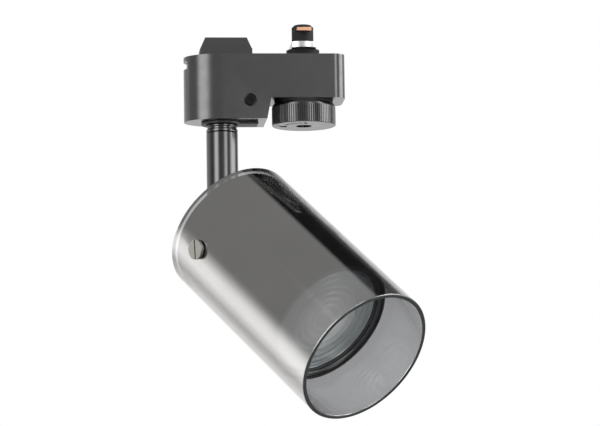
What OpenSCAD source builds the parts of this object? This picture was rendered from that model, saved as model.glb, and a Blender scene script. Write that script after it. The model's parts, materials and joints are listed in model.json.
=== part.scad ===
// Track spotlight: a turn-lock adapter that hangs in a lighting track, a stem that
// swivels under it, and a glass-shaded lamp head that tilts on the stem's end.
// Millimetres. The origin is on the seat face that meets the underside of the track,
// midway along the adapter. +X runs along the track and +Z points up into it.
// The head is drawn at its display pose, aimed forwards, to the side and down.

/* [Adapter case] */
// Length of the case along the track
case_l = 67.6; // [66:0.2:70]
// Width of the case across the track
case_w = 24; // [24:0.5:26]
// Depth of the case below the track at the stem end
case_deep = 27.6; // [27.4:0.2:30]
// Depth of the case below the track at the knob end
case_shallow = 18.7; // [18.2:0.1:19]
// Thickness of the case walls
case_wall = 1.8; // [1.6:0.1:2]
// Length of the oval nose at the stem end
nose_l = 16.8; // [14:0.2:18]
// Corner radius of the knob end, seen from above
corner_r = 4.9; // [3:0.1:6]
// Where the sloping step between the two depths starts, from the middle of the case
step_x = 0.6; // [0:0.1:1]
// How far the step leans over its height
step_run = 1.8; // [1:0.1:2.4]

/* [Turn lock] */
// Distance of the knob's axis from the middle of the case
knob_x = 16.85; // [16.6:0.05:17.2]
// Diameter of the knob
knob_d = 27; // [26:0.5:28]
// Depth of the knob's underside below the track
knob_drop = 29.1; // [28.5:0.1:30]
// Diameter of the access hole in the knob's underside
knob_hole_d = 6.1; // [6:0.1:6.6]
// Length of the locking cam, tip to tip
cam_l = 19; // [18:0.5:20]
// Width of the locking cam, which must pass the track's slot
cam_w = 10.4; // [10.2:0.1:11]
// Reach of each contact blade from the knob's axis
blade_reach = 9.2; // [8.5:0.1:9.6]

/* [Stem] */
// Distance of the stem's axis from the middle of the case, towards the nose
stem_off = 17.8; // [17.4:0.1:18]
// Outer diameter of the stem
stem_d = 13.34; // [13:0.02:13.4]
// Depth of the tilt axis below the track
pivot_drop = 69; // [66:0.5:80]

/* [Head] */
// Compass heading of the head, clockwise from +X seen from above
head_heading = 50; // [0:1:90]
// Tilt of the head below the horizontal
head_tilt = 37.9; // [0:0.1:90]
// Outer diameter of the glass shade
shade_d = 60; // [60:0.5:62]
// Length of the glass shade
shade_l = 96.6; // [94:0.2:110]
// Wall of the glass shade
shade_wall = 1.8; // [1.6:0.1:1.8]
// Distance of the shade's rear edge from the tilt axis
shade_back = 6.93; // [6.9:0.01:7.2]
// Distance of the lamp housing's front edge behind the shade's mouth
mouth_depth = 25.2; // [22:0.2:26]
// Distance of the shade screws from the shade's rear edge
shade_screw_u = 16.1; // [14:0.1:18]
// Turn of the shade screws about the lamp's axis, from the level
shade_screw_turn = 5; // [0:1:10]

/* [Lamp] */
// Diameter of the lamp's front
lamp_d = 50; // [49:0.5:50.5]
// Length of the lamp's body without its pins
lamp_l = 50; // [48:0.5:50]

/* [Hidden] */
$fn = 96;

gap = 0.05;                             // gap between pieces that meet or turn
past = 1;                               // how far a cut runs past a face
arc_steps = 16;                         // straight runs in each quarter of an outline

// Case
nose_x = -case_l / 2 + nose_l;          // centre of the oval nose
floor_z = -case_deep + case_wall;       // inside of the deep floor
screw_r = 1.5;                          // M3 shank
cross = [2.6, 0.7, 1];                  // length, width and depth of a cross recess
case_screw_at = [-6.5, -19.7];          // X and Z of the case screw
case_screw_head = [2.1, 1.5];           // radius and height
case_screw_hole_end = 3;                // web left at the end of the screw's hole
case_screw_tip = 0.5;                   // room past the screw's tip
case_boss_r = 3.9;
recess_r = 2.75;                        // round recess that the screw's head sits in
recess_depth = 2.6;
notch = [1.4, 14, 3.3];                 // release notch across the tip of the nose
notch_drop = 3.6;
stop_rib = [1, 1.2, 3.2];               // rib that ends the swivel's travel
stop_rib_y = 9.2;
stop_tab = [1, 8.9];                    // width and reach of the washer's tab

// Swivel
bush_r = 6;
bush_flange_r = 7;
bush_flange_t = 1;
spigot_r = 4;                           // M8 hollow thread
spigot_bore_r = 2.6;
plate_t = 1.15;
plate_r = 8.7;
plate_arm = [15.1, 9];                  // reach and width of the plate's arm
collar_z = -case_deep - plate_t - gap;  // top shoulder of the stem's collar
collar_h = 3.1;
collar_lip = 1;                         // height of the ring next to the case
collar_groove = [0.8, 0.5];             // width and depth of the groove under it
collar_edge = 0.15;
thread_past = 2;                        // thread that stands past the nut
washer_z = floor_z + bush_flange_t + gap;
washer_t = 0.8;
nut_z = washer_z + washer_t + gap;
nut_t = 2.5;
nut_af = 12;

// Turn lock
rotor_flange_r = 12.4;
rotor_flange_t = 0.9;
rotor_low_z = -case_shallow - gap - rotor_flange_t;
rotor_shaft_r = 5;
detent_r = 8.5;
detent_z = [-12, -8];                   // bottom and top of the detent disc
detent_dimple = 0.9;                    // how far outside the disc a dimple's centre is
journal_r = 7;
journal_low_z = -case_wall - 1.4;
rotor_hole = 8.5;                       // depth of the knob screw's hole
neck_z = 3.2;                           // height of the track's lips
barrel_r = 4.6;
barrel_top_z = 14;
barrel_chamfer = 1;
cam_t = 2.6;
blade_z = [8, 11];                      // heights of the live and neutral blades
blade_w = 6;
blade_t = 0.8;
blade_root = 1.1;                       // where a blade starts, from the knob's axis
blade_tip = [0.7, 1];                   // drop and height of a blade's turned-down tip
knob_top_z = rotor_low_z - gap;
knob_h = knob_drop + knob_top_z;
knob_rib_h = 0.25;
knob_ribs = 90;
knob_edge = 0.35;                       // chamfer round the underside
knob_top_edge = [0.9, 1.6];             // inset and height of the chamfer round the top
knob_web = 3;                           // thickness over the knob screw's seat
knob_screw_head = [2.7, 1.8];
knob_screw_l = 9.5;
ball_r = 1.5;
ball_z = -10;
ball_x = knob_x - detent_r - gap - ball_r;
spring_end_x = 0.3;
spring_turns = 6;
spring_r = 1.1;
spring_wire_r = 0.2;
spring_sides = 6;
spring_steps = 10;                      // straight runs in each turn
pocket_x = [-2, 7.6];                   // ends of the block that guides the ball
pocket_h = 5;

// Foot that guides the nose end in the track
foot_x = [-27, -5];
foot_w = 13;
foot_top_z = 8;
foot_flange = [21, 17, 1.7];            // flange that keeps the foot in the case
foot_flange_past = 2;                   // how far the flange goes past the foot's end
foot_top_w = 10.8;                      // width of the foot above the track's lips
foot_slope = 2.2;                       // how far its ends lean in
foot_hole = [3.2, 4.5];                 // radius and depth of the hollow under it
contact_leaf = [8, 0.6, 3.9];
contact_button = [1.3, 0.95];

// Stem and knuckle
stem_r = stem_d / 2;
stem_bore_r = 5;
stem_low = 7;                           // shoulder of the stem above the tilt axis
knuckle_r = stem_r - 0.07;
knuckle_half = 4;
channel_half = 1.8;                     // wire channel through the knuckle
channel_r = 2.2;
plug_l = 7;                             // length that goes into the stem's bore
hinge_pin_r = 2;
stem_edge = 0.3;                        // chamfer at the stem's lower end
stem_shoulder = 0.6;                    // rounding at its upper end
wire_r = 0.75;
wire_sides = 8;
wire_start = 0.5;                       // gap between the stem and the head's wires
wire_half = 0.85;                       // half the spacing of the two wires
adapter_wire_half = 1;
stem_wire_z = [0.6, 2.2];               // start above the tilt axis, and end past the nut
wire_start_u = stem_r + wire_start;     // start of the head's wires
wire_in_holder = 2;

// Route of the adapter's wires, as X and Z, from the stem to the contacts
adapter_route = [
    [-stem_off, -19], [-stem_off, -15], [-17.6, -12], [-16.6, -9], [-14.5, -6.8],
    [-11, -5.8], [-6, -5.5], [0, -5.5], [6, -5.5], [11.2, -5.5]];

// Hinge bracket
ear_in = 4.6;
ear_t = 1.8;
ear_r = 6.2;
friction_r = 5;
hinge_head = [3.6, 1.5];                // radius and height of the hinge screws' heads
hinge_hex = [1.45, 0.8];                // radius and depth of their hexagon recess
bracket_base = [23, 26, 1.5];
bracket_hole_r = 3;
bracket_screw_y = 10;
bracket_screw_head = [2.7, 1.5];

// Head, measured along the lamp's axis from the tilt axis
shade_r = shade_d / 2;
mouth_u = shade_back + shade_l;
housing_r = shade_r - shade_wall - 0.3;
housing_wall = 1.2;
housing_back_u = 8;
housing_front_u = mouth_u - mouth_depth;
cap_t = 2;
cap_r = housing_r - housing_wall - gap;
skirt_t = 2;
skirt_end_u = 30;
cap_window = [13, 13.2];
base_u = housing_back_u + cap_t + gap;
holder_u = base_u + bracket_base[2] + gap;
holder_h = 15;
holder_r = 12.4;
holder_screw_x = 9;
holder_screw_r = 1.25;
holder_screw_head = [2.3, 2];
holder_bore = [2.5, 5];                 // radius and floor of the bore over the screw
lamp_u = holder_u + holder_h + gap;
lamp_r = lamp_d / 2;
lamp_front_u = lamp_u + lamp_l;
lens_r = lamp_r - 0.8;                  // recess for the lens in the lamp's front
lens_depth = 2.4;
lens_t = 1.8;
lens_drop = 0.5;                        // lens below the lamp's front edge
cup_r = 6;
cup_depth = 15;
led_t = 1.4;

// Radius and height of the lamp's body behind its rim
lamp_profile = [[11.8, 0], [13, 2], [14.5, 14], [22.5, 34], [lamp_r, 39]];
pin_half = 5;                           // GU10 pins stand 10 mm apart
pin_r = 1.6;
pin_head = [2.5, 2];
pin_l = 7.2;
pin_play = 0.2;
wire_hole = [1, 2.2];
ring_back_u = lamp_front_u + gap;
ring_r = lamp_r - 0.4;
ring_front_u = housing_front_u - 0.4;
ring_edge = 0.3;
housing_edge = 0.3;
glass_edge = 0.4;
screw_u = shade_back + shade_screw_u;
shade_screw_r = 1.95;                   // M4 shank
shade_screw_in = 2;                     // how far it goes past the cap's skirt
shade_screw_play = 0.6;                 // play of the screws in the glass
shade_head = [4.1, 1.2];
shade_slot = [0.84, 0.6];               // width and depth
shade_washer = [4, 0.5];
washer_r = shade_r + gap;               // where the shade's washers start

function unit(v) = v / norm(v);
function arc(cx, cy, rx, ry, from, to) =
    [for (k = [0 : arc_steps])
        let (a = from + (to - from) * k / arc_steps) [cx + rx * cos(a), cy + ry * sin(a)]];

// Outline of the case seen from above, drawn in by an inset
function case_plan(inset) = concat(
    arc(nose_x, 0, nose_l - inset, case_w / 2 - inset, 270, 180),
    arc(nose_x, 0, nose_l - inset, case_w / 2 - inset, 180 - 90 / arc_steps, 90),
    arc(case_l / 2 - corner_r, case_w / 2 - corner_r, corner_r - inset, corner_r - inset, 90, 0),
    arc(case_l / 2 - corner_r, corner_r - case_w / 2, corner_r - inset, corner_r - inset, 0, -90));

// Outline of the case seen from the front, drawn in by an inset
function case_side(inset) = [
    [-case_l, -inset], [case_l, -inset], [case_l, inset - case_shallow],
    [step_x + step_run - inset, inset - case_shallow],
    [step_x - inset, inset - case_deep], [-case_l, inset - case_deep]];

// Direction of a path at one of its points
function heading_at(path, i) =
    unit(path[min(i + 1, len(path) - 1)] - path[max(i - 1, 0)]);

// Round wire along a path. The reference direction is never along the path.
module wire(path, r, sides, ref) {
    last = len(path) - 1;
    points = [for (i = [0 : last])
        let (t = heading_at(path, i), a = unit(cross(t, ref)), b = cross(a, t))
        for (k = [0 : sides - 1])
            path[i] + r * (cos(360 * k / sides) * a + sin(360 * k / sides) * b)];
    walls = [for (i = [0 : last - 1]) for (k = [0 : sides - 1])
        let (next = (k + 1) % sides)
        [i * sides + k, i * sides + next, (i + 1) * sides + next, (i + 1) * sides + k]];
    ends = [[for (k = [sides - 1 : -1 : 0]) k], [for (k = [0 : sides - 1]) last * sides + k]];
    polyhedron(points, concat(walls, ends), convexity = 6);
}

module lathe(points) rotate_extrude() polygon(points);

// Frames that the moving pieces are drawn in
module at_stem() translate([-stem_off, 0, 0]) rotate([0, 0, -head_heading]) children();
module at_pivot() at_stem() translate([0, 0, -pivot_drop]) children();
module at_head() at_pivot() rotate([0, 90 + head_tilt, 0]) children();
module at_knob() translate([knob_x, 0, 0]) children();

// Repeats its children at two places half a turn apart about Z
module both_ways() for (turn = [0, 180]) rotate([0, 0, turn]) children();

// Cross-head screw: its head stands on z = 0 and its shank goes down
module cross_screw(length, head) difference() {
    union() {
        cylinder(r = head[0], h = head[1]);
        translate([0, 0, -length]) cylinder(r = screw_r, h = length + head[1] / 2);
    }
    for (turn = [0, 90]) rotate([0, 0, turn])
        translate([-cross[0] / 2, -cross[1] / 2, head[1] - cross[2]])
            cube([cross[0], cross[1], cross[2] + past]);
}

// Cylinder along Y, from y0 to y1
module rod_y(r, y0, y1) translate([0, y0, 0]) rotate([-90, 0, 0]) cylinder(r = r, h = y1 - y0);

module case_block(inset) {
    intersection() {
        translate([0, 0, -case_deep - past]) linear_extrude(case_deep + 2 * past)
            polygon(case_plan(inset));
        translate([0, case_w, 0]) rotate([90, 0, 0]) linear_extrude(2 * case_w)
            polygon(case_side(inset));
    }
}

// Everything on one side of the case's joint line: side is 1 for back, -1 for front
module half_space(side) {
    translate([-case_l, side > 0 ? 0 : -case_w, -case_deep - past])
        cube([2 * case_l, case_w, case_deep + 2 * past]);
}

module ball_pocket() {
    translate([0, 0, ball_z]) rotate([0, 90, 0])
        cylinder(r = ball_r + 0.1, h = pocket_x[1] + past);
}

module case_half(side) {
    inner_w = case_w / 2 - case_wall / 2;
    difference() {
        union() {
            difference() {
                intersection() {
                    case_block(0);
                    half_space(side);
                }
                case_block(case_wall);
            }
            translate([case_screw_at[0], 0, case_screw_at[1]])
                rod_y(case_boss_r, side > 0 ? 0 : -inner_w, side > 0 ? inner_w : 0);
            translate([pocket_x[0], side > 0 ? 0 : -inner_w, ball_z - pocket_h / 2])
                cube([pocket_x[1] - pocket_x[0], inner_w, pocket_h]);
        }
        ball_pocket();
        translate([case_screw_at[0], 0, case_screw_at[1]])
            rod_y(screw_r + gap, -case_w, case_w / 2 - case_screw_hole_end);
        translate([-stem_off, 0, -case_deep - past])
            cylinder(r = bush_r + gap, h = case_wall + 2 * past);
        translate([knob_x, 0, -case_shallow - past])
            cylinder(r = rotor_shaft_r + gap, h = case_wall + 2 * past);
        translate([knob_x, 0, -case_wall - past])
            cylinder(r = journal_r + gap, h = case_wall + 2 * past);
        translate([foot_x[0] - gap, -foot_w / 2 - gap, -case_wall - past])
            cube([foot_x[1] - foot_x[0] + 2 * gap, foot_w + 2 * gap, case_wall + 2 * past]);
        translate([-case_l / 2 - past, -notch[1] / 2, -notch_drop - notch[2] / 2])
            cube([notch[0] + past, notch[1], notch[2]]);
    }
}

module case_front() color([0.30, 0.30, 0.31]) {
    difference() {
        case_half(-1);
        translate([case_screw_at[0], 0, case_screw_at[1]])
            rod_y(recess_r, -case_w / 2 - past, -case_w / 2 + recess_depth);
    }
}

module case_back() color([0.30, 0.30, 0.31]) {
    case_half(1);
    translate([-stem_off - stop_rib[0] / 2, stop_rib_y, floor_z]) cube(stop_rib);
}

module case_screw() color([0.12, 0.12, 0.13]) {
    head_y = -case_w / 2 + recess_depth - gap;
    translate([case_screw_at[0], head_y, case_screw_at[1]]) rotate([90, 0, 0])
        cross_screw(case_w / 2 - case_screw_hole_end - case_screw_tip - head_y, case_screw_head);
}

module swivel_plate() color([0.10, 0.10, 0.11]) {
    translate([-stem_off, 0, -case_deep - plate_t]) difference() {
        union() {
            cylinder(r = plate_r, h = plate_t);
            translate([0, -plate_arm[1] / 2, 0]) cube([plate_arm[0], plate_arm[1], plate_t]);
        }
        translate([0, 0, -past]) cylinder(r = bush_r + gap, h = plate_t + 2 * past);
    }
}

module swivel_bush() color([0.72, 0.60, 0.34]) {
    low = -case_deep - plate_t + gap;
    translate([-stem_off, 0, 0]) lathe([
        [spigot_r + gap, low], [bush_r, low], [bush_r, floor_z], [bush_flange_r, floor_z],
        [bush_flange_r, floor_z + bush_flange_t], [spigot_r + gap, floor_z + bush_flange_t]]);
}

module guide_foot() color([0.12, 0.12, 0.13]) {
    foot_l = foot_x[1] - foot_x[0];
    flange_x = foot_x[1] + foot_flange_past - foot_flange[0];
    flange_z = -case_wall - gap - foot_flange[2];
    difference() {
        union() {
            translate([flange_x, -foot_flange[1] / 2, flange_z]) cube(foot_flange);
            translate([foot_x[0], -foot_w / 2, -case_wall - 0.2])
                cube([foot_l, foot_w, case_wall + 0.2 + neck_z]);
            translate([0, foot_top_w / 2, 0]) rotate([90, 0, 0]) linear_extrude(foot_top_w)
                polygon([
                    [foot_x[0], neck_z - 0.1], [foot_x[1], neck_z - 0.1],
                    [foot_x[1] - foot_slope, foot_top_z], [foot_x[0] + foot_slope, foot_top_z]]);
        }
        translate([foot_x[0] + foot_l / 2, 0, flange_z - past])
            cylinder(r = foot_hole[0], h = foot_hole[1]);
    }
}

module earth_contact() color([0.78, 0.50, 0.30])
    translate([(foot_x[0] + foot_x[1]) / 2, foot_top_w / 2 + gap, neck_z + gap]) {
        translate([-contact_leaf[0] / 2, 0, 0]) cube(contact_leaf);
        translate([0, 0, contact_leaf[2] / 2]) rotate([-90, 0, 0])
            cylinder(r = contact_button[0], h = contact_button[1]);
    }

module detent_ball() color([0.80, 0.80, 0.82]) {
    translate([ball_x, 0, ball_z]) sphere(r = ball_r);
}

module detent_spring() color([0.70, 0.70, 0.72]) {
    length = ball_x - ball_r - spring_end_x;
    steps = spring_turns * spring_steps;
    wire([for (i = [0 : steps])
            let (a = 360 * i / spring_steps)
            [spring_end_x + length * i / steps, spring_r * cos(a), ball_z + spring_r * sin(a)]],
         spring_wire_r, spring_sides, [1, 0, 0]);
}

module adapter_wires() color([0.55, 0.10, 0.08])
    for (side = [-1, 1])
        wire([for (p = adapter_route) [p[0], side * adapter_wire_half, p[1]]],
             wire_r, wire_sides, [0, 1, 0]);

module knob_outline() {
    root_r = knob_d / 2 - knob_rib_h;
    polygon([for (i = [0 : 2 * knob_ribs - 1])
        let (a = 180 * i / knob_ribs, r = i % 2 == 0 ? knob_d / 2 : root_r)
        [r * cos(a), r * sin(a)]]);
}

module knob() color([0.27, 0.27, 0.28]) at_knob() translate([0, 0, -knob_drop]) {
    difference() {
        intersection() {
            linear_extrude(knob_h) knob_outline();
            lathe([
                [0, 0], [knob_d / 2 - knob_edge, 0], [knob_d / 2 + gap, knob_edge],
                [knob_d / 2 + gap, knob_h - knob_top_edge[1]],
                [knob_d / 2 - knob_top_edge[0], knob_h], [0, knob_h]]);
        }
        translate([0, 0, -past]) cylinder(d = knob_hole_d, h = past + knob_h - knob_web);
        translate([0, 0, -past]) cylinder(r = screw_r + gap, h = knob_h + 2 * past);
    }
}

module knob_screw() color([0.55, 0.55, 0.57])
    at_knob() translate([0, 0, knob_h - knob_drop - knob_web]) rotate([180, 0, 0])
        cross_screw(knob_screw_l, knob_screw_head);

module lock_rotor() color([0.10, 0.10, 0.11]) at_knob() {
    difference() {
        lathe([
            [0, rotor_low_z], [rotor_flange_r, rotor_low_z],
            [rotor_flange_r, rotor_low_z + rotor_flange_t],
            [rotor_shaft_r, rotor_low_z + rotor_flange_t],
            [rotor_shaft_r, detent_z[0]], [detent_r, detent_z[0]], [detent_r, detent_z[1]],
            [rotor_shaft_r, detent_z[1]], [rotor_shaft_r, journal_low_z],
            [journal_r, journal_low_z], [journal_r, neck_z],
            [barrel_r, neck_z], [barrel_r, barrel_top_z - barrel_chamfer],
            [barrel_r - barrel_chamfer, barrel_top_z], [0, barrel_top_z]]);
        translate([0, 0, rotor_low_z - past]) cylinder(r = screw_r + gap, h = past + rotor_hole);
        for (turn = [90, 180]) rotate([0, 0, turn])
            translate([detent_r + detent_dimple, 0, ball_z]) sphere(r = ball_r);
        for (i = [0, 1]) rotate([0, 0, 180 * i])
            translate([-blade_w / 2 - gap, blade_root - 2 * gap, blade_z[i] - gap])
                cube([blade_w + 2 * gap, barrel_r, blade_t + 2 * gap]);
    }
}

module lock_cam() color([0.62, 0.62, 0.64]) at_knob() translate([0, 0, neck_z + gap]) {
    difference() {
        intersection() {
            cylinder(d = cam_l, h = cam_t);
            translate([-cam_w / 2, -cam_l / 2, 0]) cube([cam_w, cam_l, cam_t]);
        }
        translate([0, 0, -past]) cylinder(r = barrel_r + gap, h = cam_t + 2 * past);
    }
}

// One contact blade: a flat tongue with a turned-down tip
module blade(z) {
    translate([-blade_w / 2, blade_root, z]) cube([blade_w, blade_reach - blade_root, blade_t]);
    translate([-blade_w / 2, blade_reach - blade_t, z - blade_tip[0]])
        cube([blade_w, blade_t, blade_tip[1]]);
}

module live_blade() color([0.80, 0.52, 0.32]) at_knob() blade(blade_z[0]);

module neutral_blade() color([0.80, 0.52, 0.32]) at_knob() rotate([0, 0, 180]) blade(blade_z[1]);

module stem_collar() color([0.22, 0.22, 0.23]) translate([-stem_off, 0, 0]) {
    low = collar_z - collar_h;
    groove_z = collar_z - collar_lip;
    groove_r = stem_r - collar_groove[1];
    top = nut_z + nut_t + thread_past;
    lathe([
        [spigot_bore_r, low - plug_l], [stem_bore_r - gap, low - plug_l],
        [stem_bore_r - gap, low], [stem_r - collar_edge, low], [stem_r, low + collar_edge],
        [stem_r, groove_z - collar_groove[0] - collar_edge],
        [groove_r, groove_z - collar_groove[0]], [groove_r, groove_z],
        [stem_r, groove_z + collar_edge], [stem_r, collar_z - collar_edge],
        [stem_r - collar_edge, collar_z], [spigot_r, collar_z],
        [spigot_r, top], [spigot_bore_r, top]]);
}

module swivel_washer() color([0.75, 0.75, 0.77]) at_stem() translate([0, 0, washer_z]) {
    difference() {
        union() {
            cylinder(r = bush_flange_r, h = washer_t);
            rotate([0, 0, head_heading]) translate([-stop_tab[0] / 2, -stop_tab[1], 0])
                cube([stop_tab[0], stop_tab[1] - spigot_r - past, washer_t]);
        }
        translate([0, 0, -past]) cylinder(r = spigot_r + gap, h = washer_t + 2 * past);
    }
}

module swivel_nut() color([0.78, 0.78, 0.80]) at_stem() translate([0, 0, nut_z]) {
    difference() {
        cylinder(d = nut_af / cos(30), h = nut_t, $fn = 6);
        translate([0, 0, -past]) cylinder(r = spigot_r + gap, h = nut_t + 2 * past);
    }
}

module stem() color([0.24, 0.24, 0.25]) at_stem() {
    low = stem_low - pivot_drop;
    high = collar_z - collar_h - gap;
    lathe([
        [stem_bore_r, low], [stem_r - stem_edge, low], [stem_r, low + stem_edge],
        [stem_r, high - stem_shoulder], [stem_r - stem_shoulder, high], [stem_bore_r, high]]);
}

module knuckle() color([0.22, 0.22, 0.23]) at_pivot() difference() {
    union() {
        intersection() {
            translate([0, 0, -knuckle_r]) cylinder(r = stem_r, h = knuckle_r + stem_low - gap);
            union() {
                rod_y(knuckle_r, -knuckle_half, knuckle_half);
                translate([-stem_r - past, -knuckle_half, 0])
                    cube([stem_d + 2 * past, 2 * knuckle_half, stem_low]);
            }
        }
        translate([0, 0, 1]) cylinder(r = knuckle_half - gap, h = stem_low);
        translate([0, 0, stem_low - gap]) cylinder(r = stem_bore_r - gap, h = plug_l);
    }
    cylinder(r = channel_half, h = stem_low + plug_l + past);
    translate([-channel_r, -channel_half, -stem_r - past])
        cube([channel_r + stem_r + past, 2 * channel_half, channel_r + stem_r + past]);
    rod_y(hinge_pin_r + gap, -knuckle_half - past, knuckle_half + past);
}

module stem_wires() color([0.55, 0.10, 0.08]) at_pivot() {
    for (side = [-1, 1]) translate([0, side * wire_half, stem_wire_z[0]])
        cylinder(r = wire_r, h = pivot_drop + nut_z + nut_t + stem_wire_z[1] - stem_wire_z[0]);
}

module friction_washers() color([0.70, 0.70, 0.72]) at_pivot() both_ways() {
    difference() {
        rod_y(friction_r, knuckle_half + gap, ear_in - gap);
        rod_y(hinge_pin_r + gap, knuckle_half - past, ear_in + past);
    }
}

module hinge_bracket() color([0.16, 0.16, 0.17]) at_head() difference() {
    union() {
        translate([-bracket_base[0] / 2, -bracket_base[1] / 2, base_u]) cube(bracket_base);
        for (side = [-1, 1]) translate([0, side > 0 ? ear_in : -ear_in - ear_t, 0]) {
            rod_y(ear_r, 0, ear_t);
            translate([-ear_r, 0, 0]) cube([2 * ear_r, ear_t, base_u + 0.5]);
        }
    }
    rod_y(hinge_pin_r + gap, -ear_in - ear_t - past, ear_in + ear_t + past);
    translate([0, 0, base_u - past]) cylinder(r = bracket_hole_r, h = bracket_base[2] + 2 * past);
    for (side = [-1, 1]) {
        translate([0, side * bracket_screw_y, base_u - past])
            cylinder(r = screw_r + gap, h = bracket_base[2] + 2 * past);
        translate([side * holder_screw_x, 0, base_u - past])
            cylinder(r = holder_screw_r + gap, h = bracket_base[2] + 2 * past);
    }
}

module hinge_screws() color([0.50, 0.50, 0.52]) at_head() both_ways() {
    out = ear_in + ear_t + gap;
    difference() {
        union() {
            rod_y(hinge_pin_r, channel_half + 2 * gap, out + hinge_head[1] / 3);
            rod_y(hinge_head[0], out, out + hinge_head[1]);
        }
        translate([0, out + hinge_head[1] - hinge_hex[1], 0]) rotate([-90, 0, 0])
            cylinder(r = hinge_hex[0], h = hinge_hex[1] + past, $fn = 6);
    }
}

module bracket_screws() color([0.50, 0.50, 0.52]) at_head() both_ways()
    translate([0, bracket_screw_y, housing_back_u - gap]) rotate([180, 0, 0])
        cross_screw(holder_u - housing_back_u, bracket_screw_head);

// The two holes that the shade screws cross, as cutters of radius r
module shade_screw_holes(r) {
    translate([0, 0, screw_u]) rotate([0, 0, shade_screw_turn])
        rod_y(r, -shade_r - past, shade_r + past);
}

module rear_cap() color([0.10, 0.10, 0.11]) at_head() difference() {
    lathe([
        [0, housing_back_u], [cap_r, housing_back_u], [cap_r, skirt_end_u],
        [cap_r - skirt_t, skirt_end_u], [cap_r - skirt_t, housing_back_u + cap_t],
        [0, housing_back_u + cap_t]]);
    translate([-cap_window[0] / 2, -cap_window[1] / 2, housing_back_u - past])
        cube([cap_window[0], cap_window[1], cap_t + 2 * past]);
    both_ways() translate([0, bracket_screw_y, housing_back_u - past])
        cylinder(r = screw_r + gap, h = cap_t + 2 * past);
    shade_screw_holes(shade_screw_r + gap);
}

module lamp_housing() color([0.08, 0.08, 0.09]) at_head() difference() {
    lathe([
        [housing_r - housing_wall, housing_back_u], [housing_r, housing_back_u],
        [housing_r, housing_front_u - housing_edge], [housing_r - housing_edge, housing_front_u],
        [housing_r - housing_wall, housing_front_u]]);
    shade_screw_holes(shade_screw_r + gap);
}

module glass_shade() color([0.45, 0.45, 0.45, 0.6]) at_head() difference() {
    inner = shade_r - shade_wall;
    lathe([
        [inner + glass_edge, shade_back], [shade_r - glass_edge, shade_back],
        [shade_r, shade_back + glass_edge], [shade_r, mouth_u - glass_edge],
        [shade_r - glass_edge, mouth_u], [inner + glass_edge, mouth_u],
        [inner, mouth_u - glass_edge], [inner, shade_back + glass_edge]]);
    shade_screw_holes(shade_screw_r + shade_screw_play);
}

// Slotted screws. The slots stand upright when the head is at its display pose.
module shade_screws() color([0.72, 0.71, 0.69]) at_head() translate([0, 0, screw_u])
    rotate([0, 0, shade_screw_turn]) difference() {
        under = washer_r + shade_washer[1] + gap;
        top = under + shade_head[1];
        both_ways() {
            rod_y(shade_screw_r, cap_r - skirt_t - shade_screw_in, under + shade_head[1] / 2);
            rod_y(shade_head[0], under, top);
        }
        for (low = [top - shade_slot[1], -top - past]) rotate([0, -head_tilt, 0])
            translate([-shade_head[0] - past, low, -shade_slot[0] / 2])
                cube([2 * (shade_head[0] + past), shade_slot[1] + past, shade_slot[0]]);
    }

module shade_washers() color([0.06, 0.06, 0.06]) at_head() translate([0, 0, screw_u])
    rotate([0, 0, shade_screw_turn]) both_ways() difference() {
        rod_y(shade_washer[0], washer_r, washer_r + shade_washer[1]);
        rod_y(shade_screw_r + gap, washer_r - past, washer_r + shade_washer[1] + past);
    }

module lamp_ring() color([0.07, 0.07, 0.08]) at_head() lathe([
    [ring_r, ring_back_u], [cap_r, ring_back_u], [cap_r, ring_front_u - ring_edge],
    [cap_r - ring_edge, ring_front_u], [ring_r + ring_edge, ring_front_u],
    [ring_r, ring_front_u - ring_edge]]);

module lamp_body() color([0.80, 0.80, 0.81]) at_head() {
    cup_floor_u = lamp_front_u - lens_depth - cup_depth;
    lathe(concat(
        [[0, lamp_u]], [for (p = lamp_profile) [p[0], lamp_u + p[1]]],
        [[lamp_r, lamp_front_u], [lens_r, lamp_front_u], [lens_r, lamp_front_u - lens_depth],
         [cup_r, cup_floor_u], [0, cup_floor_u]]));
}

module lamp_lens() color([0.85, 0.90, 0.92, 0.5]) at_head()
    translate([0, 0, lamp_front_u - lens_drop - lens_t]) cylinder(r = lens_r - gap, h = lens_t);

module led_module() color([0.95, 0.85, 0.45]) at_head()
    translate([0, 0, lamp_front_u - lens_depth - cup_depth + gap]) cylinder(r = cup_r - 1, h = led_t);

module lamp_pins() color([0.80, 0.80, 0.78]) at_head()
    for (side = [-1, 1]) translate([0, side * pin_half, 0]) lathe([
        [0, lamp_u - pin_l], [pin_head[0], lamp_u - pin_l],
        [pin_head[0], lamp_u - pin_l + pin_head[1]], [pin_r, lamp_u - pin_l + pin_head[1]],
        [pin_r, lamp_u - gap], [0, lamp_u - gap]]);

module lamp_holder() color([0.92, 0.91, 0.88]) at_head() difference() {
    translate([0, 0, holder_u]) cylinder(r = holder_r, h = holder_h);
    for (side = [-1, 1]) {
        translate([0, side * pin_half, lamp_u - pin_l - 2 * pin_play])
            cylinder(r = pin_head[0] + pin_play, h = pin_l + past);
        translate([side * holder_screw_x, 0, holder_u - past])
            cylinder(r = holder_screw_r + gap, h = holder_h + 2 * past);
        translate([side * holder_screw_x, 0, holder_u + holder_bore[1]])
            cylinder(r = holder_bore[0], h = holder_h);
        translate([0, side * wire_half, holder_u - past])
            cylinder(r = wire_hole[0], h = past + wire_hole[1]);
    }
}

module holder_screws() color([0.60, 0.60, 0.62]) at_head()
    both_ways() translate([holder_screw_x, 0, 0]) {
        head_u = holder_u + holder_bore[1] + gap;
        translate([0, 0, base_u + 2 * gap])
            cylinder(r = holder_screw_r, h = head_u + holder_screw_head[1] / 2 - base_u);
        translate([0, 0, head_u]) cylinder(r = holder_screw_head[0], h = holder_screw_head[1]);
    }

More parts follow.
